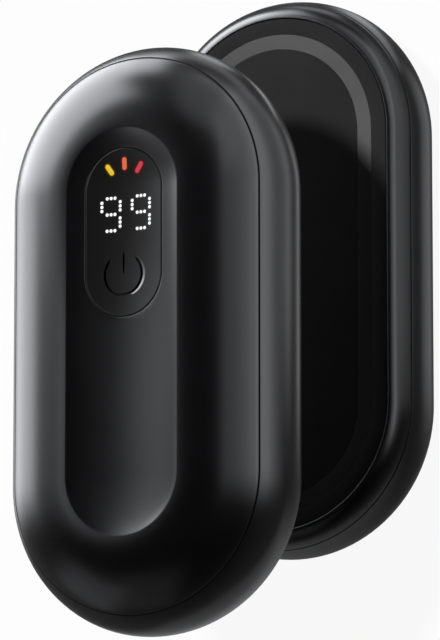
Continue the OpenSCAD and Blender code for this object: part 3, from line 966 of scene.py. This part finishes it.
# Name, middle in the shared frame, facing, width, height and radiance. No two lie in one plane,
# where one would hide the other.
SOFTBOXES = (
    ("key_side", (-150, 10.5, 67), TO_RIGHT, 87, 112, 3.85),
    ("key_top", (-133, 114, 102), KEY_AIM, 146, 202, 7.4),
    ("key_low", (-59, 174, 67), (0.39, -0.92, 0), 52, 88, 6.1),
    ("key_rim", (-40, 90, 32), (0.25, -0.35, -0.9), 36, 48, 6.5),
    ("key_high", (-157, 87, 242), KEY_AIM, 73, 90, 1.5),
    ("left_wall", (-51, -8, 110), TO_RIGHT, 56, 92, 0.8),
    ("left_high", (-52, -12, 145), TO_RIGHT, 48, 31, 1.0),
    ("right_wall", (83, 87, 151), TO_LEFT, 254, 198, 0.95),
    ("right_wall_low", (83.5, 104, 30), TO_LEFT, 221, 44, 0.8),
    ("right_middle", (84, 87, 108), TO_LEFT, 254, 88, 0.5),
    ("right_high", (84.5, 115, 205), TO_LEFT, 110, 120, 0.9),
    ("right_strip", (85, 87, 97), TO_LEFT, 258, 52, 0.75),
    ("right_core", (86, 87, 89), TO_LEFT, 258, 26, 0.9),
    ("right_low", (60, 100, 32), TO_LEFT, 220, 20, 0.5),
    ("back_right", (52, 185, 84), (-0.2, -1, 0), 66, 48, 1.0),
    ("top_box", (31, 161, 146), (-0.05, -0.8, -0.55), 80, 150, 1.0),
    ("low_box", (-157, -165, 135), (0.75, 0.6, -0.3), 110, 130, 0.55),
    ("low_front", (-72, -235, 200), (0.4, 0.9, -0.65), 150, 170, 0.22),
    ("floor_right", (111, 60, 0.5), UPWARDS, 98, 120, 0.35),
    ("floor_rim", (34, 20, 0.6), UPWARDS, 11, 71, 0.8),
    ("floor_front", (22, -172, 0.7), UPWARDS, 150, 236, 0.38),
    ("floor_back", (24, 70, 0.8), UPWARDS, 34, 12, 1.5),
    ("floor_middle", (-5, 121, 0.9), UPWARDS, 30, 50, 1.8),
    ("floor_far", (10, 207, 1.0), UPWARDS, 180, 110, 1.0),
    ("floor_left", (-125, 10, 1.1), UPWARDS, 70, 100, 0.85),
)


def softbox(name, middle, facing, width, height, radiance):
    """A panel of light with soft edges that only reflections see.

    Its width and height are measured to the middle of its soft edge.
    """
    sides = (width, height)
    edges = [min(SOFT_REACH, SOFT_SHARE * side) for side in sides]
    data = bpy.data.lights.new(name, "AREA")
    data.shape = "RECTANGLE"
    data.size, data.size_y = ((side + edge) * MM for side, edge in zip(sides, edges))
    data.energy = radiance * math.pi * data.size * data.size_y
    data.color = LAMP_COLOUR
    data.use_nodes = True
    tree = data.node_tree
    where, parts = add(tree, "ShaderNodeTexCoord"), add(tree, "ShaderNodeSeparateXYZ")
    tree.links.new(where.outputs["UV"], parts.inputs["Vector"])
    both = add(tree, "ShaderNodeMath")
    both.operation = "MULTIPLY"
    for k, axis in enumerate("XY"):
        fold = add(tree, "ShaderNodeMath")
        fold.operation = "PINGPONG"
        fold.inputs[1].default_value = LAMP_MIDDLE
        ramp = add(tree, "ShaderNodeMapRange", **{"From Max": edges[k] / (sides[k] + edges[k])})
        ramp.interpolation_type = "SMOOTHSTEP"
        tree.links.new(parts.outputs[axis], fold.inputs[0])
        tree.links.new(fold.outputs[0], ramp.inputs["Value"])
        tree.links.new(ramp.outputs["Result"], both.inputs[k])
    tree.links.new(both.outputs[0], tree.nodes["Emission"].inputs["Strength"])
    lamp = bpy.data.objects.new(name, data)
    lamp.location = Vector(middle) * MM
    lamp.rotation_euler = Vector(facing).to_track_quat("-Z", "Y").to_euler()
    lamp.visible_diffuse = lamp.visible_camera = lamp.visible_transmission = False
    into_scene(lamp)


for box in SOFTBOXES:
    softbox(*box)

# The one lamp that lights matte surfaces. It casts the upper unit's shadow on the lower's panel.
SUN_STRENGTH = 2.6
SUN_WIDTH = math.radians(5.5)
SUN_AIM = (-0.016, -0.09, -0.995)

sun = bpy.data.lights.new("key_lamp", "SUN")
sun.energy = SUN_STRENGTH
sun.angle = SUN_WIDTH
key_lamp = bpy.data.objects.new("key_lamp", sun)
into_scene(key_lamp)
key_lamp.rotation_mode = "QUATERNION"
key_lamp.rotation_quaternion = Vector(SUN_AIM).to_track_quat("-Z", "Y")
key_lamp.visible_glossy = False


def mixed(tree, share, first, second):
    """A mix of two shaders: the first where the share is 0, and the second where it is 1."""
    mix = add(tree, "ShaderNodeMixShader")
    for source, target in zip((share, first, second), mix.inputs):
        tree.links.new(source, target)
    return mix.outputs[0]


WHITE_LIGHT = (1, 1, 1, 1)

# World: white to the camera, a dim glow that fades upwards to reflections, and nearly dark to
# matte surfaces
ROOM_GLOW = 0.09
ROOM_TOP = 0.7
ROOM_REST = 0.035


def studio_world():
    world = bpy.data.worlds.new("studio")
    world.use_nodes = True
    world.cycles.sampling_method = "NONE"
    tree = world.node_tree
    tree.nodes.clear()
    rays = add(tree, "ShaderNodeLightPath")
    coords = add(tree, "ShaderNodeTexCoord")
    parts = add(tree, "ShaderNodeSeparateXYZ")
    tree.links.new(coords.outputs["Generated"], parts.inputs["Vector"])
    fade = add(tree, "ShaderNodeMapRange",
               **{"From Min": 0.0, "From Max": ROOM_TOP, "To Min": ROOM_GLOW, "To Max": 0.0})
    fade.interpolation_type = "SMOOTHSTEP"
    tree.links.new(parts.outputs["Z"], fade.inputs["Value"])
    room = add(tree, "ShaderNodeBackground", Color=WHITE_LIGHT)
    tree.links.new(fade.outputs["Result"], room.inputs["Strength"])
    rest = add(tree, "ShaderNodeBackground", Color=WHITE_LIGHT, Strength=ROOM_REST)
    white = add(tree, "ShaderNodeBackground", Color=WHITE_LIGHT, Strength=1.0)
    unseen = mixed(tree, rays.outputs["Is Glossy Ray"], rest.outputs[0], room.outputs[0])
    sky = mixed(tree, rays.outputs["Is Camera Ray"], unseen, white.outputs[0])
    tree.links.new(sky, add(tree, "ShaderNodeOutputWorld").inputs["Surface"])
    return world


bpy.context.scene.view_settings.view_transform = "Standard"
bpy.context.scene.world = studio_world()

# Pale floor: nearly white to the camera, with the object's shadow left in it, and dim to
# reflections. Its reach and its drop are in metres.
FLOOR_REACH = 3.0
FLOOR_DROP = 0.00005
FLOOR_GREY = (0.85, 0.85, 0.85, 1)
FLOOR_MIRRORED = 0.15
FLOOR_WHITE_SHARE = 0.93


def floor_paper():
    paper = bpy.data.materials.new("floor_paper")
    paper.use_nodes = True
    paper.cycles.emission_sampling = "NONE"
    tree = paper.node_tree
    tree.nodes.clear()
    rays = add(tree, "ShaderNodeLightPath")
    diffuse = add(tree, "ShaderNodeBsdfDiffuse", Color=FLOOR_GREY)
    shine = add(tree, "ShaderNodeEmission", Color=WHITE_LIGHT, Strength=1.0)
    dull = add(tree, "ShaderNodeEmission", Color=WHITE_LIGHT, Strength=FLOOR_MIRRORED)
    share = add(tree, "ShaderNodeMath")
    share.operation = "MULTIPLY"
    share.inputs[1].default_value = FLOOR_WHITE_SHARE
    tree.links.new(rays.outputs["Is Camera Ray"], share.inputs[0])
    under = mixed(tree, rays.outputs["Is Glossy Ray"], diffuse.outputs[0], dull.outputs[0])
    surface = mixed(tree, share.outputs[0], under, shine.outputs[0])
    tree.links.new(surface, add(tree, "ShaderNodeOutputMaterial").inputs["Surface"])
    return paper


floor_mesh = bpy.data.meshes.new("floor")
corners = [(x * FLOOR_REACH, y * FLOOR_REACH, 0) for x, y in ((-1, -1), (1, -1), (1, 1), (-1, 1))]
floor_mesh.from_pydata(corners, [], [(0, 1, 2, 3)])
floor_mesh.materials.append(floor_paper())
floor = bpy.data.objects.new("floor", floor_mesh)
into_scene(floor)
floor.location.z = -FLOOR_DROP
